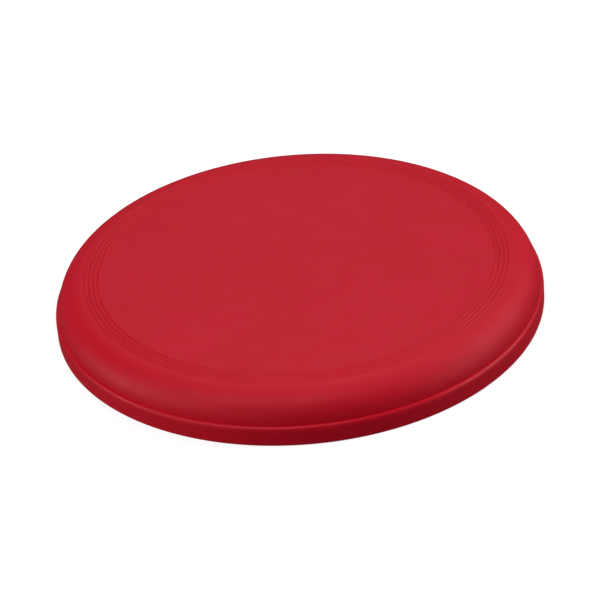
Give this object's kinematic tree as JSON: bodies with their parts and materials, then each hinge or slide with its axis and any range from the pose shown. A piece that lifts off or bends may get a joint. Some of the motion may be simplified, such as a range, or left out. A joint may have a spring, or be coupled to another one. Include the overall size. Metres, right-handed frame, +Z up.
{
  "type": "flying disc",
  "caption": "Round thin-walled throwing disc: flat plate with raised rings near its edge, rounded shoulder and a proud grip band round the rim.",
  "frame": {"origin": "centre of the disc, on the ground plane that the grip band's lower face rests on", "axes": "+Z up, along the disc's axis and out of the flight plate; X and Y are alike, because the disc is a shape of revolution"},
  "size_m": [0.218, 0.218, 0.022],
  "materials": {
    "shell_plastic": "satin moulded polypropylene, red all through, with a very fine texture",
    "band_plastic": "satin moulded polypropylene, red all through, slightly smoother than the shell"
  },
  "bodies": {
    "root": {"flight_shell": "shell_plastic", "rim_band": "band_plastic"}
  },
  "joints": []
}
